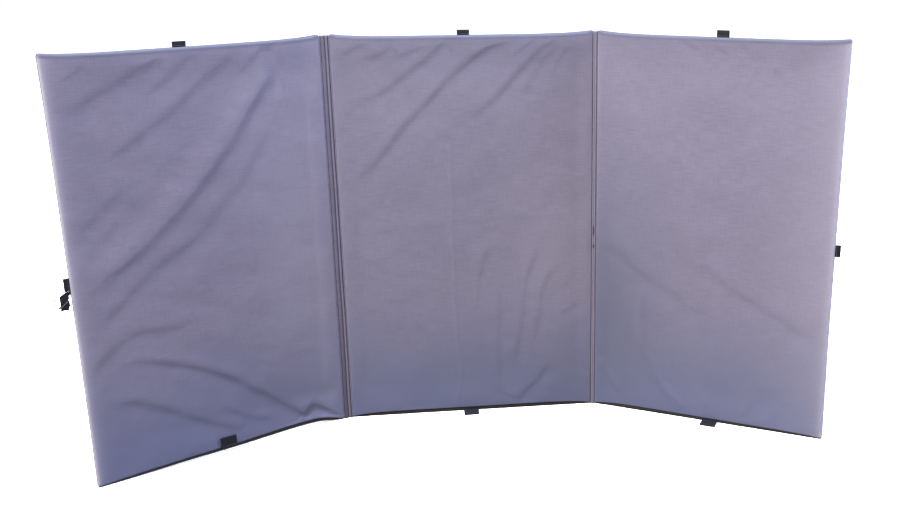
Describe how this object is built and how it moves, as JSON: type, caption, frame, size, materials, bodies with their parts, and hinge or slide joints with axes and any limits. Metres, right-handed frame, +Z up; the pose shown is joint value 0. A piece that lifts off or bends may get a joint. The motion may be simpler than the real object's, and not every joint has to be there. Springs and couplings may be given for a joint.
{
  "type": "bouldering crash pad",
  "caption": "Thin bouldering pad that folds in three, opened and standing on its long edge with both wings turned forward; webbing loops round the edges and a hook on a short strap.",
  "frame": {"origin": "middle of the middle panel's bottom edge, on the floor and halfway through its thickness", "axes": "+Z up, +X along the middle panel to the right as the grey face is seen, -Y out of the grey face"},
  "size_m": [1.8016, 0.3327, 1.0088],
  "materials": {
    "grey_fabric": "matte",
    "black_fabric": "matte",
    "gusset_fabric": "matte",
    "webbing": "matte",
    "open_cell_foam": "matte",
    "closed_cell_foam": "matte",
    "polished_wire": "polished"
  },
  "bodies": {
    "middle_panel": {"middle_base_cover": "black_fabric", "middle_face_cover": "grey_fabric", "middle_soft_foam": "open_cell_foam", "middle_firm_foam": "closed_cell_foam", "middle_top_loop": "webbing", "middle_floor_loop": "webbing"},
    "left_gusset": {"left_gusset": "gusset_fabric"},
    "left_wing": {"left_base_cover": "black_fabric", "left_face_cover": "grey_fabric", "left_soft_foam": "open_cell_foam", "left_firm_foam": "closed_cell_foam", "left_top_loop": "webbing", "left_side_loop": "webbing", "left_floor_loop": "webbing"},
    "right_gusset": {"right_gusset": "gusset_fabric"},
    "right_wing": {"right_base_cover": "black_fabric", "right_face_cover": "grey_fabric", "right_soft_foam": "open_cell_foam", "right_firm_foam": "closed_cell_foam", "right_top_loop": "webbing", "right_side_loop": "webbing", "right_floor_loop": "webbing"},
    "hook_strap": {"hook_strap": "webbing"},
    "hook": {"hook": "polished_wire"}
  },
  "joints": [
    {"name": "left_fold_inner", "type": "hinge", "parent": "middle_panel", "child": "left_gusset", "pos_m": [-0.3199, -0.0071, 0], "axis": [0, 0, 1], "range_deg": [-14.35, 75.65], "deforming": ["middle_floor_loop"]},
    {"name": "left_fold_outer", "type": "hinge", "parent": "left_gusset", "child": "left_wing", "pos_m": [-0.34141, -0.0126, 0], "axis": [0, 0, 1], "range_deg": [-14.35, 75.65], "deforming": ["left_floor_loop"]},
    {"name": "right_fold_inner", "type": "hinge", "parent": "middle_panel", "child": "right_gusset", "pos_m": [0.3199, -0.0039, 0], "axis": [0, 0, -1], "range_deg": [-14.5, 75.5]},
    {"name": "right_fold_outer", "type": "hinge", "parent": "right_gusset", "child": "right_wing", "pos_m": [0.33055, -0.00665, 0], "axis": [0, 0, -1], "range_deg": [-14.5, 75.5], "deforming": ["right_floor_loop"]},
    {"name": "strap_swing", "type": "hinge", "parent": "left_wing", "child": "hook_strap", "pos_m": [-0.89409, -0.30709, 0.4783], "axis": [0, 0, 1], "range_deg": [-67, 15]},
    {"name": "hook_swing", "type": "hinge", "parent": "hook_strap", "child": "hook", "pos_m": [-0.9061, -0.31367, 0.456], "axis": [-0.7017, -0.3842, -0.6], "range_deg": [-30, 30]}
  ],
  "couplings": [
    {"joint": "left_fold_outer", "follows": "left_fold_inner", "ratio": 1},
    {"joint": "right_fold_outer", "follows": "right_fold_inner", "ratio": 1}
  ]
}
